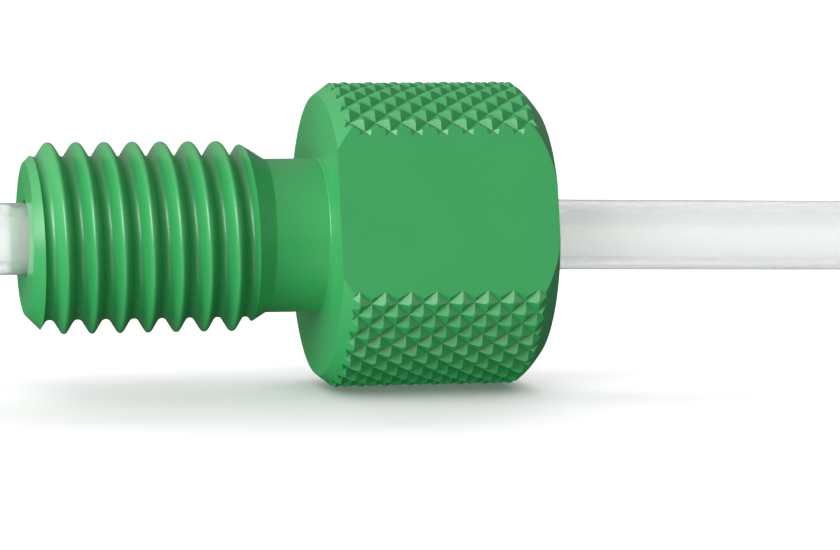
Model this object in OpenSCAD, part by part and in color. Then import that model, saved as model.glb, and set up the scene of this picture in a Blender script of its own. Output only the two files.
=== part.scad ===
// Fingertight tube fitting: a moulded male nut with a knurled head, and the tubing that runs through it.
// The axis is +X, from the nose to the head, and the origin is the middle of the nose face.
// The nut lies on its head, with +Z up.

/* [Thread] */
// Diameter over the thread crests, a 1/4-28 UNF thread as moulded
thread_major_d = 6.15; // [5.8:0.05:6.8]
// Distance from one crest to the next along the axis, 28 to the inch
thread_pitch = 0.907; // [0.7:0.001:1.2]
// Radial depth of the groove between two crests
thread_depth = 0.46; // [0.3:0.005:0.6]
// Length of the threaded end, from the nose face to the foot of its run-out
thread_l = 7.75; // [5:0.05:12]
// Where the first crest crosses the +Y side, measured from the nose face
thread_start = 0.55; // [0:0.01:0.9]
// Radial height of the chamfer round the nose
nose_chamfer = 0.62; // [0.3:0.01:0.8]
// Angle of the cone that ends the thread, measured from the axis
runout_angle = 32; // [20:1:45]

/* [Neck] */
// Length of the plain neck between the thread and the head
neck_l = 1.75; // [0.8:0.05:4]
// How far the neck lies under the bottom of the thread groove
neck_relief = 0.13; // [0.05:0.01:0.4]

/* [Head] */
// Diameter of the head over the edges of the bevels
head_d = 9.88; // [9:0.02:12]
// Length of the head between its two end faces
head_l = 7.1; // [5:0.05:12]
// Length of the bevel on the thread side
front_bevel_l = 0.5; // [0.3:0.02:1]
// Radial height of the bevel on the thread side
front_bevel_h = 0.38; // [0.3:0.02:0.8]
// Length of the bevel at the tubing side
back_bevel_l = 0.78; // [0.3:0.02:1.2]
// Radial height of the bevel at the tubing side
back_bevel_h = 0.76; // [0.3:0.02:1.2]
// Distance across the two wrench flats
flats_across = 8.14; // [7.6:0.01:8.8]
// How far the front flat leans back from upright as the nut lies
flat_lean = 14; // [0:1:30]

/* [Knurl] */
// Number of diamonds round the head
knurl_count = 36; // [24:1:48]
// Length of one diamond along the axis
knurl_pitch = 0.83; // [0.6:0.01:1.2]
// Height of the diamond points over the grooves
knurl_depth = 0.21; // [0.1:0.01:0.3]
// Height of the diamond points over the edges of the bevels
knurl_rise = 0.05; // [0:0.01:0.08]
// Turn of the knurl against the flats
knurl_turn = 1.5; // [0:0.5:5]

/* [Tubing] */
// Outer diameter of the tubing
tube_od = 2.3; // [1.5:0.05:3.2]
// Wall thickness of the tubing
tube_wall = 0.4; // [0.1:0.05:0.65]
// Gap all round between the tubing and the nut's bore
tube_clearance = 0.07; // [0.02:0.01:0.1]
// Length of tubing that stands out of the nose
tube_front_l = 3; // [1:0.5:20]
// Length of tubing that stands out of the head
tube_back_l = 14; // [5:0.5:60]
// Chamfer round the mouth of the bore in the nose
mouth_chamfer = 0.06; // [0.02:0.01:0.3]
// Chamfer round the tubing entry in the head
entry_chamfer = 0.35; // [0.1:0.05:0.6]

/* [Hidden] */

green = [0.20, 0.62, 0.34];
clear_white = [0.90, 0.91, 0.90, 0.55];

$fn = 96;
overlap = 0.4;         // how far solids run into each other before they are joined
past = 1;              // how far a cutter runs past what it cuts
lip = 0.03;            // step at the foot of the run-out, so that the neck meets a plane
bevel_rows = 4;        // rows of points along each bevel of the head
bevel_crown = 1.4;     // how fast the back bevel falls away: 1 is straight, 2 is round
thread_cols = 48;      // columns of points round the thread

crest_r = thread_major_d / 2;
groove_r = crest_r - thread_depth;
neck_r = groove_r - neck_relief;
nose_r = crest_r - nose_chamfer;
head_r = head_d / 2;
bore_r = tube_od / 2 + tube_clearance;
head_x = thread_l + neck_l;
head_end_x = head_x + head_l;

// One pitch of the thread as [share of the pitch, radius]: a rounded crest, a flank, a rounded groove, a flank
crest_round = 0.03;
groove_round = 0.04;
thread_profile = [
    [0.00, crest_r],
    [0.09, crest_r - crest_round],
    [0.36, groove_r + groove_round],
    [0.50, groove_r],
    [0.64, groove_r + groove_round],
    [0.91, crest_r - crest_round]
];

// Radius of the turned blank that the thread is formed on, at x from the nose face
function blank_r(x) = min(
    nose_r + x,
    neck_r + lip + (thread_l - x) * tan(runout_angle)
);

// Place of point j along column i of the helix. Row 0 starts two pitches before the first crest.
profile_rows = len(thread_profile);
function helix_x(i, j) = thread_start + thread_pitch
    * (i / thread_cols - 2 + floor(j / profile_rows) + thread_profile[j % profile_rows][0]);
function helix_r(j) = thread_profile[j % profile_rows][1];

function round_point(x, r, angle) = [x, r * cos(angle), r * sin(angle)];

// A right-hand thread on its core, as one solid. Points of the helix that would lie past an end
// are gathered in the ring of points round that end face.
module thread() {
    rows = profile_rows * (ceil(thread_l / thread_pitch) + 3);
    step = 360 / thread_cols;

    function index(i, j) =
        i == thread_cols ? index(0, j + profile_rows)
        : helix_x(i, j) <= 0 ? i
        : helix_x(i, j) >= thread_l ? thread_cols + i
        : 2 * thread_cols + i * rows + j;

    nose_ring = [for (i = [0 : thread_cols - 1]) round_point(0, blank_r(0), i * step)];
    foot_ring = [for (i = [0 : thread_cols - 1]) round_point(thread_l, blank_r(thread_l), i * step)];
    helix = [
        for (i = [0 : thread_cols - 1], j = [0 : rows - 1])
            let (x = min(max(helix_x(i, j), 0), thread_l))
                round_point(x, min(helix_r(j), blank_r(x)), i * step)
    ];
    skin = [
        for (i = [0 : thread_cols - 1], j = [0 : rows - 2])
            let (a = index(i, j), b = index(i, j + 1), c = index(i + 1, j + 1), d = index(i + 1, j))
                for (face = [[a, b, c], [a, c, d]])
                    if (face[0] != face[1] && face[1] != face[2] && face[2] != face[0]) face
    ];
    nose_face = [[for (i = [0 : thread_cols - 1]) i]];
    foot_face = [[for (i = [thread_cols - 1 : -1 : 0]) thread_cols + i]];
    polyhedron(concat(nose_ring, foot_ring, helix), concat(skin, nose_face, foot_face), convexity = 10);
}

// The knurled band holds a whole number of half diamonds between the two bevels
band_l = head_l - front_bevel_l - back_bevel_l;
band_rows = max(1, round(band_l / (knurl_pitch / 2)));
knurl_cols = 2 * knurl_count;

head_rows = concat(
    [for (k = [0 : bevel_rows - 1]) k * front_bevel_l / bevel_rows],
    [for (k = [0 : band_rows]) front_bevel_l + k * band_l / band_rows],
    [for (k = [1 : bevel_rows]) head_l - back_bevel_l + k * back_bevel_l / bevel_rows]
);

// Radius of the bevelled head before it is knurled, at x from its front face
function bevelled_r(x) = head_r
    - front_bevel_h * max(0, 1 - x / front_bevel_l)
    - back_bevel_h * pow(max(0, 1 - (head_l - x) / back_bevel_l), bevel_crown);

// The knurl rises and falls once every two half diamonds, and every other column is half a diamond on
function knurl_fall(i, x) =
    let (halves = (x - front_bevel_l) * band_rows / band_l + i, phase = halves - 2 * floor(halves / 2))
        1 - abs(1 - phase);
function knurl_r(i, x) = head_r + knurl_rise - knurl_depth * knurl_fall(i, x);
function head_r_at(i, x) =
    x < front_bevel_l || x > head_l - back_bevel_l ? min(knurl_r(i, x), bevelled_r(x))
    : knurl_r(i, x);

// The round head with its diamond points, each cell split along its groove
module knurled_head() {
    last = len(head_rows) - 1;
    step = 360 / knurl_cols;

    function index(i, j) = (i % knurl_cols) * (last + 1) + j;
    function r_at(i, j) = head_r_at(i, head_rows[j]);

    points = [
        for (i = [0 : knurl_cols - 1], j = [0 : last])
            round_point(head_rows[j], r_at(i, j), i * step + knurl_turn)
    ];
    skin = [
        for (i = [0 : knurl_cols - 1], j = [0 : last - 1])
            let (a = index(i, j), b = index(i, j + 1), c = index(i + 1, j + 1), d = index(i + 1, j))
                for (face = r_at(i, j) + r_at(i + 1, j + 1) < r_at(i, j + 1) + r_at(i + 1, j)
                    ? [[a, b, c], [a, c, d]]
                    : [[a, b, d], [b, c, d]]) face
    ];
    front_face = [[for (i = [0 : knurl_cols - 1]) index(i, 0)]];
    back_face = [[for (i = [knurl_cols - 1 : -1 : 0]) index(i, last)]];
    polyhedron(points, concat(skin, front_face, back_face), convexity = 10);
}

module head() {
    rotate([-flat_lean, 0, 0]) difference() {
        knurled_head();
        for (side = [-1, 1])
            translate([-past, side > 0 ? flats_across / 2 : -flats_across / 2 - head_r, -head_d])
                cube([head_l + 2 * past, head_r, 2 * head_d]);
    }
}

module along_x(x) {
    translate([x, 0, 0]) rotate([0, 90, 0]) children();
}

// The bore for the tubing, opened at both ends
module tube_way() {
    along_x(-past) cylinder(r = bore_r, h = head_end_x + 2 * past);
    along_x(-mouth_chamfer) cylinder(r1 = bore_r + 2 * mouth_chamfer, r2 = bore_r, h = 2 * mouth_chamfer);
    along_x(head_end_x - entry_chamfer)
        cylinder(r1 = bore_r, r2 = bore_r + 2 * entry_chamfer, h = 2 * entry_chamfer);
}

module nut() {
    color(green) difference() {
        union() {
            thread();
            along_x(thread_l - overlap) cylinder(r = neck_r, h = neck_l + 2 * overlap);
            translate([head_x, 0, 0]) head();
        }
        tube_way();
    }
}

module tubing() {
    tube_l = tube_front_l + head_end_x + tube_back_l;
    color(clear_white) along_x(-tube_front_l) difference() {
        cylinder(d = tube_od, h = tube_l);
        translate([0, 0, -past]) cylinder(d = tube_od - 2 * tube_wall, h = tube_l + 2 * past);
    }
}

nut();
tubing();
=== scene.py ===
from math import atan2, cos, pi, radians, sin, tan

import bmesh
import bpy
from mathutils import Matrix, Vector


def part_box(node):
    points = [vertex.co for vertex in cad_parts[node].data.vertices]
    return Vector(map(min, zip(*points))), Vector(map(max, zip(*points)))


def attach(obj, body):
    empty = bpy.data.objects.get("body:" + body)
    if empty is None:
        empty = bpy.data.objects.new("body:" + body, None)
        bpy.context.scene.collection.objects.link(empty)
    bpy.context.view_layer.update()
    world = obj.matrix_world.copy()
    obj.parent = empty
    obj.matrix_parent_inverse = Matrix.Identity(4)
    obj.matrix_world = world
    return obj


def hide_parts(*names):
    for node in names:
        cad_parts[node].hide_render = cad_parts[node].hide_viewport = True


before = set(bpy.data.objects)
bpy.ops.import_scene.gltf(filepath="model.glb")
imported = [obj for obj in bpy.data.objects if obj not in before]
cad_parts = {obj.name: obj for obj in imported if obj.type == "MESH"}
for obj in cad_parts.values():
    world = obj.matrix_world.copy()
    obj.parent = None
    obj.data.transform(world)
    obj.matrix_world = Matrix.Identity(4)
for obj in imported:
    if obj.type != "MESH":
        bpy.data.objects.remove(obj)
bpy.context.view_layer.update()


# --- Camera --------------------------------------------------------------------
# A long lens a hand's breadth in front of the fitting and a little to the nose side,
# looking slightly down on it as it lies on a table.
mm = 0.001
camera_place = Vector((-14.73, -122.28, 10.40)) * mm
camera_yaw, camera_pitch, camera_roll = radians(12.758), radians(5.360), radians(0.311)

camera_lens = bpy.data.cameras.new("studio_camera")
camera_lens.sensor_width = 36
camera_lens.lens = 165.06
camera_lens.clip_start = 1 * mm
camera_lens.clip_end = 10
camera = bpy.data.objects.new("studio_camera", camera_lens)
bpy.context.scene.collection.objects.link(camera)
camera.matrix_world = (
    Matrix.Translation(camera_place)
    @ Matrix.Rotation(-camera_yaw, 4, "Z")
    @ Matrix.Rotation(pi / 2 - camera_pitch, 4, "X")
    @ Matrix.Rotation(camera_roll, 4, "Z")
)
bpy.context.scene.camera = camera
bpy.context.scene.view_settings.view_transform = "Standard"


# --- Table ---------------------------------------------------------------------
# A plain white table top that carries on past every edge of the view. The camera sees it white,
# but it throws back only a little light, as if it stood well clear of the fitting.
table_size = 4
table_shade, table_glow, table_bounce_shade = 0.8, 0.10, 0.06
bpy.ops.object.select_all(action="DESELECT")
table_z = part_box("nut")[0].z
bpy.ops.mesh.primitive_plane_add(size=table_size, location=(0, 0, table_z))
table = bpy.context.object
table.name = "table"

table_white = bpy.data.materials.new("table_white")
table_white.use_nodes = True
nodes, links = table_white.node_tree.nodes, table_white.node_tree.links
nodes.clear()
table_out = nodes.new("ShaderNodeOutputMaterial")
table_light_path = nodes.new("ShaderNodeLightPath")
table_seen = nodes.new("ShaderNodeMath")
table_seen.operation = "MAXIMUM"
table_seen_matt = nodes.new("ShaderNodeBsdfDiffuse")
table_seen_matt.inputs["Color"].default_value = (table_shade, table_shade, table_shade, 1)
table_seen_glow = nodes.new("ShaderNodeEmission")
table_seen_glow.inputs["Color"].default_value = (1, 1, 1, 1)
table_seen_glow.inputs["Strength"].default_value = table_glow
table_seen_sum = nodes.new("ShaderNodeAddShader")
table_bounce = nodes.new("ShaderNodeBsdfDiffuse")
table_bounce.inputs["Color"].default_value = (
    table_bounce_shade, table_bounce_shade, table_bounce_shade, 1)
table_mix = nodes.new("ShaderNodeMixShader")
links.new(table_light_path.outputs["Is Camera Ray"], table_seen.inputs[0])
links.new(table_light_path.outputs["Is Transmission Ray"], table_seen.inputs[1])
links.new(table_seen_matt.outputs[0], table_seen_sum.inputs[0])
links.new(table_seen_glow.outputs[0], table_seen_sum.inputs[1])
links.new(table_seen.outputs[0], table_mix.inputs[0])
links.new(table_bounce.outputs[0], table_mix.inputs[1])
links.new(table_seen_sum.outputs[0], table_mix.inputs[2])
links.new(table_mix.outputs[0], table_out.inputs["Surface"])
table.data.materials.append(table_white)


# --- Light ---------------------------------------------------------------------
# Four soft boxes light the fitting alone: a key at the front on the nose side, a tall one beside
# the nose, one from below that shines up through the table, and a weak one past the head. Three
# wide lamps light the table alone and throw the shadows. The room is white to look at.
room_bright_side = (-0.85, -0.05, 0.52)
room_fade_start, room_fade_end = -0.3, 1.0
room_least, room_most = 0.18, 0.75
room = bpy.data.worlds.new("white_room")
room.use_nodes = True
nodes, links = room.node_tree.nodes, room.node_tree.links
nodes.clear()
room_out = nodes.new("ShaderNodeOutputWorld")
room_place = nodes.new("ShaderNodeTexCoord")
room_side = nodes.new("ShaderNodeVectorMath")
room_side.operation = "DOT_PRODUCT"
room_side.inputs[1].default_value = room_bright_side
room_fade = nodes.new("ShaderNodeMapRange")
room_fade.inputs["From Min"].default_value = room_fade_start
room_fade.inputs["From Max"].default_value = room_fade_end
room_fade.inputs["To Min"].default_value = room_least
room_fade.inputs["To Max"].default_value = room_most
room_dim = nodes.new("ShaderNodeBackground")
room_dim.inputs["Color"].default_value = (1, 1, 1, 1)
room_white = nodes.new("ShaderNodeBackground")
room_white.inputs["Color"].default_value = (1, 1, 1, 1)
room_white.inputs["Strength"].default_value = 1.0
room_light_path = nodes.new("ShaderNodeLightPath")
room_seen = nodes.new("ShaderNodeMath")
room_seen.operation = "MAXIMUM"
room_mix = nodes.new("ShaderNodeMixShader")
links.new(room_place.outputs["Generated"], room_side.inputs[0])
links.new(room_side.outputs["Value"], room_fade.inputs["Value"])
links.new(room_fade.outputs["Result"], room_dim.inputs["Strength"])
links.new(room_light_path.outputs["Is Camera Ray"], room_seen.inputs[0])
links.new(room_light_path.outputs["Is Transmission Ray"], room_seen.inputs[1])
links.new(room_seen.outputs[0], room_mix.inputs[0])
links.new(room_dim.outputs[0], room_mix.inputs[1])
links.new(room_white.outputs[0], room_mix.inputs[2])
links.new(room_mix.outputs[0], room_out.inputs["Surface"])
bpy.context.scene.world = room

middle = Vector((8, 0, 0)) * mm
fitting_only = bpy.data.collections.new("fitting_only")
table_only = bpy.data.collections.new("table_only")
table_only.objects.link(table)


def soft_box(name, azimuth, elevation, distance, width, height, power):
    """Hangs a lamp at that bearing from the fitting, facing it. It lights the fitting alone, and
    nothing but the fitting stands in its way."""
    lamp = bpy.data.lights.new(name, "AREA")
    lamp.shape = "RECTANGLE"
    lamp.size, lamp.size_y = width * mm, height * mm
    lamp.energy = power
    lamp_object = bpy.data.objects.new(name, lamp)
    bpy.context.scene.collection.objects.link(lamp_object)
    turn, rise = radians(azimuth), radians(elevation)
    away = Vector((-sin(turn) * cos(rise), -cos(turn) * cos(rise), sin(rise)))
    lamp_object.location = middle + away * distance * mm
    lamp_object.rotation_euler = away.to_track_quat("Z", "Y").to_euler()
    lamp_object.light_linking.receiver_collection = fitting_only
    lamp_object.light_linking.blocker_collection = fitting_only


soft_box("key_soft_box", azimuth=50, elevation=18, distance=300, width=130, height=180, power=0.62)
soft_box("side_soft_box", azimuth=80, elevation=6, distance=300, width=90, height=260, power=0.34)
soft_box("low_soft_box", azimuth=35, elevation=-32, distance=300, width=260, height=160, power=0.44)
soft_box("head_soft_box", azimuth=-75, elevation=0, distance=300, width=140, height=160, power=0.13)


def table_lamp(name, toward, angle, strength):
    """A wide lamp in that direction which lights nothing but the table."""
    lamp = bpy.data.lights.new(name, "SUN")
    lamp.energy = strength
    lamp.angle = radians(angle)
    lamp_object = bpy.data.objects.new(name, lamp)
    bpy.context.scene.collection.objects.link(lamp_object)
    lamp_object.rotation_euler = Vector(toward).to_track_quat("Z", "Y").to_euler()
    lamp_object.light_linking.receiver_collection = table_only


table_lamp("back_lamp", toward=(0.08, 0.3, 1), angle=110, strength=1.1)
table_lamp("low_back_lamp", toward=(0.5, 2.0, 1), angle=60, strength=3.0)
table_lamp("front_lamp", toward=(-0.1, -0.7, 1), angle=50, strength=0.75)


# --- Threaded end --------------------------------------------------------------
# The nose of the nut, moulded in green acetal: a right-hand 1/4-28 thread with rounded crests
# and wide rounded roots. It is formed as a long rod here, and trimmed by the turned blank below.
crest_r = 3.075
thread_pitch = 0.907
thread_depth = 0.46
thread_start = 0.55
thread_l = 7.75
crest_round, root_round = 0.10, 0.20
flank_angle = radians(30)
rod_turns, rod_lead_turns, rod_steps = 13, 2.75, 96
rod_past_nose, rod_past_runout = 0.4, 0.5
tiny = 0.0005 * mm


def nothing_selected():
    """Leaves edit mode and deselects every object."""
    if bpy.context.object and bpy.context.object.mode == "EDIT":
        bpy.ops.object.mode_set(mode="OBJECT")
    bpy.ops.object.select_all(action="DESELECT")


def work_on(piece):
    """Makes the piece the only one that is selected, and the active one."""
    nothing_selected()
    piece.select_set(True)
    bpy.context.view_layer.objects.active = piece


def draw_line(name, corners):
    """A line through the corners, each an (x, radius) in millimetres, drawn in the XZ plane."""
    nothing_selected()
    bpy.ops.mesh.primitive_plane_add(size=1 * mm, location=(0, 0, 0))
    line = bpy.context.object
    line.name = name
    bpy.ops.object.mode_set(mode="EDIT")
    bpy.ops.mesh.select_mode(type="VERT")
    bpy.ops.mesh.select_all(action="SELECT")
    bpy.ops.mesh.merge(type="CENTER")
    here = Vector((0, 0, 0))
    for count, (x, r) in enumerate(corners):
        there = Vector((x, 0, r)) * mm
        if count:
            bpy.ops.mesh.extrude_region_move(TRANSFORM_OT_translate={"value": there - here})
        else:
            bpy.ops.transform.translate(value=there - here)
        here = there
    bpy.ops.object.mode_set(mode="OBJECT")
    return line


def finish_with(piece, kind, **settings):
    """Adds one modifier to the piece and applies it."""
    work_on(piece)
    step = piece.modifiers.new(kind.lower(), kind)
    for setting, value in settings.items():
        setattr(step, setting, value)
    bpy.ops.object.modifier_apply(modifier=step.name)


def close_skin(piece):
    """Welds the seams of a turned skin and points its faces outwards."""
    work_on(piece)
    bpy.ops.object.mode_set(mode="EDIT")
    bpy.ops.mesh.select_all(action="SELECT")
    bpy.ops.mesh.remove_doubles(threshold=tiny)
    bpy.ops.mesh.normals_make_consistent(inside=False)
    bpy.ops.object.mode_set(mode="OBJECT")


def cut_off(piece, place, outwards):
    """Cuts the piece at a plane, drops what lies outwards of it, and closes the cut with one face."""
    work_on(piece)
    bpy.ops.object.mode_set(mode="EDIT")
    bpy.ops.mesh.select_all(action="SELECT")
    bpy.ops.mesh.bisect(plane_co=place, plane_no=outwards, use_fill=True, clear_outer=True,
                        threshold=0.1 * tiny)
    bpy.ops.object.mode_set(mode="OBJECT")


def thread_radius(share):
    """Radius of the thread at a share of the pitch from a crest: crest arc, flank, root arc."""
    x = min(share, 1 - share) * thread_pitch
    crest_end = crest_round * cos(flank_angle)
    root_end = thread_pitch / 2 - root_round * cos(flank_angle)
    root_r = crest_r - thread_depth
    if x <= crest_end:
        return crest_r - crest_round + (crest_round ** 2 - x ** 2) ** 0.5
    if x >= root_end:
        y = thread_pitch / 2 - x
        return root_r + root_round - (root_round ** 2 - y ** 2) ** 0.5
    top = crest_r - crest_round * (1 - sin(flank_angle))
    foot = root_r + root_round * (1 - sin(flank_angle))
    return top + (foot - top) * (x - crest_end) / (root_end - crest_end)


profile_steps = 28
thread = draw_line("thread", [
    (thread_start + thread_pitch * (k / profile_steps - rod_lead_turns),
     thread_radius(k / profile_steps))
    for k in range(profile_steps + 1)
])
finish_with(thread, "SCREW", axis="X", angle=2 * pi, steps=rod_steps, render_steps=rod_steps,
            screw_offset=thread_pitch * mm, iterations=rod_turns, use_merge_vertices=False)
close_skin(thread)
cut_off(thread, (-rod_past_nose * mm, 0, 0), (-1, 0, 0))
cut_off(thread, ((thread_l + rod_past_runout) * mm, 0, 0), (1, 0, 0))
close_skin(thread)


# --- Knurled head --------------------------------------------------------------
# The grip of the nut: a round head with a diamond knurl over its whole length and two flats
# across it for a wrench. Every diamond of the knurl is a four-sided point with a blunted tip.
head_x = 9.5
head_l = 7.1
head_end_x = head_x + head_l
head_r = 4.94
knurl_rise = 0.05
front_bevel_l, front_bevel_h = 0.5, 0.38
back_bevel_l, back_bevel_h, back_bevel_crown = 0.78, 0.76, 1.4
flats_across = 8.14
flat_lean = radians(14)
knurl_columns = 72
knurl_depth = 0.21
knurl_blunt = 0.17
knurl_turn = radians(1.5)
band_rows = 14
knurl_row = (head_l - front_bevel_l - back_bevel_l) / band_rows
rows_past = 2
knurl_rows = band_rows + 2 * rows_past
knurl_start = head_x + front_bevel_l - rows_past * knurl_row


def pick(piece, kind, wanted):
    """Opens the piece for editing with only the wanted points, edges or faces selected."""
    work_on(piece)
    bpy.ops.object.mode_set(mode="EDIT")
    bpy.ops.mesh.select_mode(type=kind)
    bpy.ops.mesh.select_all(action="DESELECT")
    skin = bmesh.from_edit_mesh(piece.data)
    for item in {"VERT": skin.verts, "EDGE": skin.edges, "FACE": skin.faces}[kind]:
        item.select_set(wanted(item))
    skin.select_flush_mode()
    bmesh.update_edit_mesh(piece.data)


nothing_selected()
bpy.ops.mesh.primitive_cylinder_add(
    vertices=knurl_columns, radius=(head_r + knurl_rise) * mm, depth=knurl_rows * knurl_row * mm,
    location=((knurl_start + knurl_rows * knurl_row / 2) * mm, 0, 0), rotation=(0, pi / 2, 0))
knurl = bpy.context.object
knurl.name = "knurled_head"
bpy.ops.object.transform_apply(location=True, rotation=True, scale=True)
pick(knurl, "EDGE", lambda edge: abs(edge.verts[0].co.x - edge.verts[1].co.x) > 1 * mm)
bpy.ops.mesh.subdivide(number_cuts=knurl_rows - 1)
bpy.ops.object.mode_set(mode="OBJECT")


def knurl_cell(place):
    """Row and column of a point of the knurl."""
    row = round((place.x / mm - knurl_start) / knurl_row)
    return row, round(atan2(place.z, place.y) / (2 * pi / knurl_columns))


pick(knurl, "VERT", lambda point: sum(knurl_cell(point.co)) % 2 == 1)
bpy.ops.mesh.vert_connect()
bottom = 1 - knurl_depth / (head_r + knurl_rise)
bpy.ops.transform.resize(value=(1, bottom, bottom), center_override=(0, 0, 0))
bpy.ops.mesh.select_all(action="INVERT")
bpy.ops.mesh.bevel(offset=knurl_blunt * mm, segments=3, affect="VERTICES")
bpy.ops.mesh.select_all(action="SELECT")
bpy.ops.transform.rotate(value=knurl_turn - flat_lean, orient_axis="X", center_override=(0, 0, 0))
bpy.ops.object.mode_set(mode="OBJECT")

flat_out = Vector((0, -cos(flat_lean), sin(flat_lean)))
for side in (1, -1):
    cut_off(knurl, flat_out * side * flats_across / 2 * mm, flat_out * side)


# --- Nut -----------------------------------------------------------------------
# The thread, the neck and the head are one moulding. A turned blank gives it the chamfered
# nose, the thread's run-out, the neck, the bevels of the head and the bore for the tubing.
neck_r = 2.485
nose_chamfer = 0.62
runout_angle = radians(32)
bore_r = 1.22
entry_chamfer = 0.35
corner_round = 0.05
bevel_steps = 6
over_crests = 0.02   # how far the blank stands over the thread's crests
over_knurl = 0.1     # how far it stands over the knurl between the bevels
over_back = 0.07     # how far before the back bevel it comes down
shank_r, shank_bore_r = 3.4, 0.3
shank_past_thread, shank_past_neck = 0.05, 0.3


def turned(name, section, steps=160):
    """A ring turned about the X axis from a closed section of (x, radius) corners."""
    blank = draw_line(name, list(section) + [section[0]])
    finish_with(blank, "SCREW", axis="X", angle=2 * pi, steps=steps, render_steps=steps,
                use_merge_vertices=True, merge_threshold=tiny)
    close_skin(blank)
    return blank


def join_solids(piece, other, how):
    """Combines two closed solids, and clears the second away."""
    finish_with(piece, "BOOLEAN", operation=how, object=other, solver="EXACT")
    bpy.data.objects.remove(other)
    close_skin(piece)


def rounded(corners, radius, steps=4):
    """The same closed section with every corner rounded by up to that radius."""
    section = []
    for i, here in enumerate(corners):
        here = Vector(here)
        before, after = Vector(corners[i - 1]) - here, Vector(corners[(i + 1) % len(corners)]) - here
        half = before.angle(after) / 2
        if half > radians(80):
            section.append(here[:])
            continue
        reach = min(radius / tan(half), 0.4 * before.length, 0.4 * after.length)
        start, end = here + before.normalized() * reach, here + after.normalized() * reach
        for k in range(steps + 1):
            t = k / steps
            section.append(((1 - t) ** 2 * start + 2 * t * (1 - t) * here + t * t * end)[:])
    return section


runout_x = thread_l - (crest_r + over_crests - neck_r) / tan(runout_angle)
blank = turned("blank", rounded([
    (0, bore_r),
    (0, crest_r - nose_chamfer),
    (nose_chamfer + over_crests, crest_r + over_crests),
    (runout_x, crest_r + over_crests),
    (thread_l, neck_r),
    (head_x, neck_r),
    (head_x, head_r - front_bevel_h),
    (head_x + front_bevel_l * (1 + over_knurl / front_bevel_h), head_r + over_knurl),
    (head_end_x - back_bevel_l - over_back, head_r + over_knurl),
] + [
    (head_end_x - back_bevel_l * (1 - k / bevel_steps),
     head_r - back_bevel_h * (k / bevel_steps) ** back_bevel_crown)
    for k in range(1, bevel_steps + 1)
] + [
    (head_end_x, bore_r + entry_chamfer),
    (head_end_x - entry_chamfer, bore_r),
], corner_round))
shank = turned("shank", [
    (thread_l - shank_past_thread, shank_bore_r), (thread_l - shank_past_thread, shank_r),
    (head_x + shank_past_neck, shank_r), (head_x + shank_past_neck, shank_bore_r)])

nut = thread
nut.name = "fingertight_nut"
join_solids(nut, shank, "UNION")
join_solids(nut, knurl, "UNION")
join_solids(nut, blank, "INTERSECT")
work_on(nut)
bpy.ops.object.shade_smooth_by_angle(angle=radians(22))
pick(nut, "FACE", lambda face: face.calc_area() > 1 * mm ** 2)
bpy.ops.mesh.faces_shade_flat()
bpy.ops.object.mode_set(mode="OBJECT")
finish_with(nut, "WEIGHTED_NORMAL", weight=90, keep_sharp=True)

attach(nut, "nut")
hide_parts("nut")

# Moulded plastic: a drift of two close colours and two roughnesses, with a fine satin grain.
drift_scale, drift_detail, grain_scale = 450, 4, 9000
grain_height = 0.01
moulded = bpy.data.node_groups.new("moulded_plastic", "ShaderNodeTree")
for name, kind in (("Dark", "Color"), ("Light", "Color"), ("Smooth", "Float"), ("Satin", "Float"),
                   ("Stretch", "Vector")):
    moulded.interface.new_socket(name, in_out="INPUT", socket_type="NodeSocket" + kind)
for name, kind in (("Color", "Color"), ("Roughness", "Float"), ("Height", "Float")):
    moulded.interface.new_socket(name, in_out="OUTPUT", socket_type="NodeSocket" + kind)
nodes, links = moulded.nodes, moulded.links
moulded_in, moulded_out = nodes.new("NodeGroupInput"), nodes.new("NodeGroupOutput")
moulded_place = nodes.new("ShaderNodeTexCoord")
moulded_stretch = nodes.new("ShaderNodeVectorMath")
moulded_stretch.operation = "MULTIPLY"
moulded_drift, moulded_grain = nodes.new("ShaderNodeTexNoise"), nodes.new("ShaderNodeTexNoise")
moulded_drift.inputs["Scale"].default_value = drift_scale
moulded_drift.inputs["Detail"].default_value = drift_detail
moulded_grain.inputs["Scale"].default_value = grain_scale
moulded_color = nodes.new("ShaderNodeMix")
moulded_color.data_type = "RGBA"
moulded_rough = nodes.new("ShaderNodeMix")
links.new(moulded_place.outputs["Object"], moulded_stretch.inputs[0])
links.new(moulded_in.outputs["Stretch"], moulded_stretch.inputs[1])
links.new(moulded_stretch.outputs["Vector"], moulded_drift.inputs["Vector"])
links.new(moulded_stretch.outputs["Vector"], moulded_grain.inputs["Vector"])
links.new(moulded_drift.outputs["Fac"], moulded_color.inputs["Factor"])
links.new(moulded_in.outputs["Dark"], moulded_color.inputs["A"])
links.new(moulded_in.outputs["Light"], moulded_color.inputs["B"])
links.new(moulded_drift.outputs["Fac"], moulded_rough.inputs["Factor"])
links.new(moulded_in.outputs["Smooth"], moulded_rough.inputs["A"])
links.new(moulded_in.outputs["Satin"], moulded_rough.inputs["B"])
links.new(moulded_color.outputs["Result"], moulded_out.inputs["Color"])
links.new(moulded_rough.outputs["Result"], moulded_out.inputs["Roughness"])
links.new(moulded_grain.outputs["Fac"], moulded_out.inputs["Height"])


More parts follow.
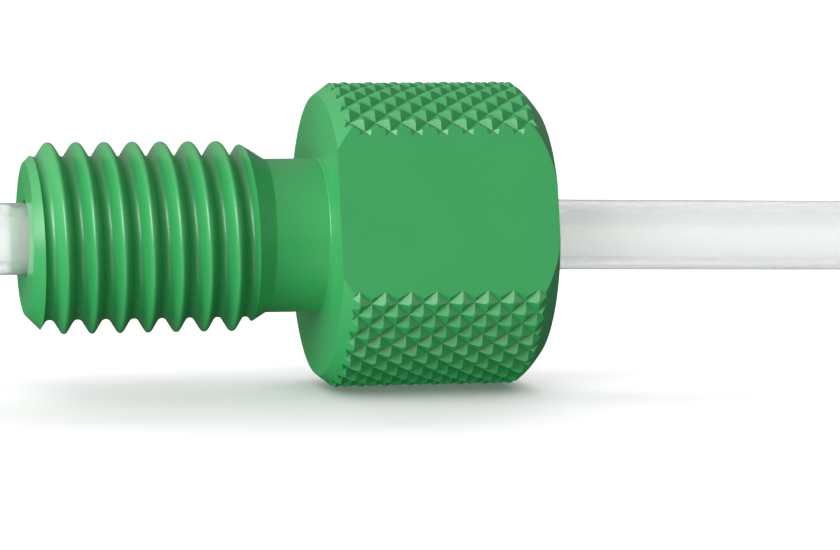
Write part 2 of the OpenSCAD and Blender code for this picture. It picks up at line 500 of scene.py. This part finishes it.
def plastic(name, dark, light, smooth, satin, stretch, grain):
    """A material of moulded plastic in those colours and roughnesses, and its shader."""
    material = bpy.data.materials.new(name)
    material.use_nodes = True
    nodes, links = material.node_tree.nodes, material.node_tree.links
    look = nodes.new("ShaderNodeGroup")
    look.node_tree = moulded
    look.inputs["Dark"].default_value = (*dark, 1)
    look.inputs["Light"].default_value = (*light, 1)
    look.inputs["Smooth"].default_value = smooth
    look.inputs["Satin"].default_value = satin
    look.inputs["Stretch"].default_value = stretch
    bump = nodes.new("ShaderNodeBump")
    bump.inputs["Strength"].default_value = grain
    bump.inputs["Distance"].default_value = grain_height * mm
    shader = nodes["Principled BSDF"]
    links.new(look.outputs["Color"], shader.inputs["Base Color"])
    links.new(look.outputs["Roughness"], shader.inputs["Roughness"])
    links.new(look.outputs["Height"], bump.inputs["Height"])
    links.new(bump.outputs["Normal"], shader.inputs["Normal"])
    return material, shader


green_acetal, green_shader = plastic(
    "green_acetal", dark=(0.030, 0.33, 0.086), light=(0.038, 0.37, 0.102),
    smooth=0.28, satin=0.38, stretch=(1, 1, 1), grain=0.25)
green_shader.inputs["Specular IOR Level"].default_value = 0.9
nut.data.materials.clear()
nut.data.materials.append(green_acetal)
fitting_only.objects.link(nut)


# --- Tubing --------------------------------------------------------------------
# A length of translucent fluoropolymer tubing, cut square at both ends, which passes right through
# the nut. The nut turns on it. It is straight but for its free end, which hangs a little low.
tube_r, tube_wall = 1.15, 0.4
tube_bend_x, tube_sag = 12.0, 0.30
tube_front_l, tube_back_l = 3.0, 14.0
tube_corner_round, tube_steps = 0.03, 96
tubing = turned("tubing", rounded([
    (-tube_front_l, tube_r - tube_wall), (-tube_front_l, tube_r), (tube_bend_x, tube_r),
    (head_end_x + tube_back_l, tube_r), (head_end_x + tube_back_l, tube_r - tube_wall),
    (tube_bend_x, tube_r - tube_wall),
], tube_corner_round), steps=tube_steps)
tubing.name = "line_tubing"
pick(tubing, "VERT", lambda vertex: vertex.co.x > head_end_x * mm)
bpy.ops.transform.translate(value=(0, 0, -tube_sag * mm))
bpy.ops.object.mode_set(mode="OBJECT")
work_on(tubing)
bpy.ops.object.shade_smooth_by_angle(angle=radians(30))
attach(tubing, "tubing")
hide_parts("tubing")

clear_fluoropolymer, clear_shader = plastic(
    "clear_fluoropolymer", dark=(0.94, 0.96, 0.95), light=(0.98, 0.99, 0.98),
    smooth=0.12, satin=0.20, stretch=(0.05, 1, 1), grain=0.02)
clear_shader.inputs["IOR"].default_value = 1.35
clear_shader.inputs["Transmission Weight"].default_value = 0.78
tubing.data.materials.clear()
tubing.data.materials.append(clear_fluoropolymer)
fitting_only.objects.link(tubing)
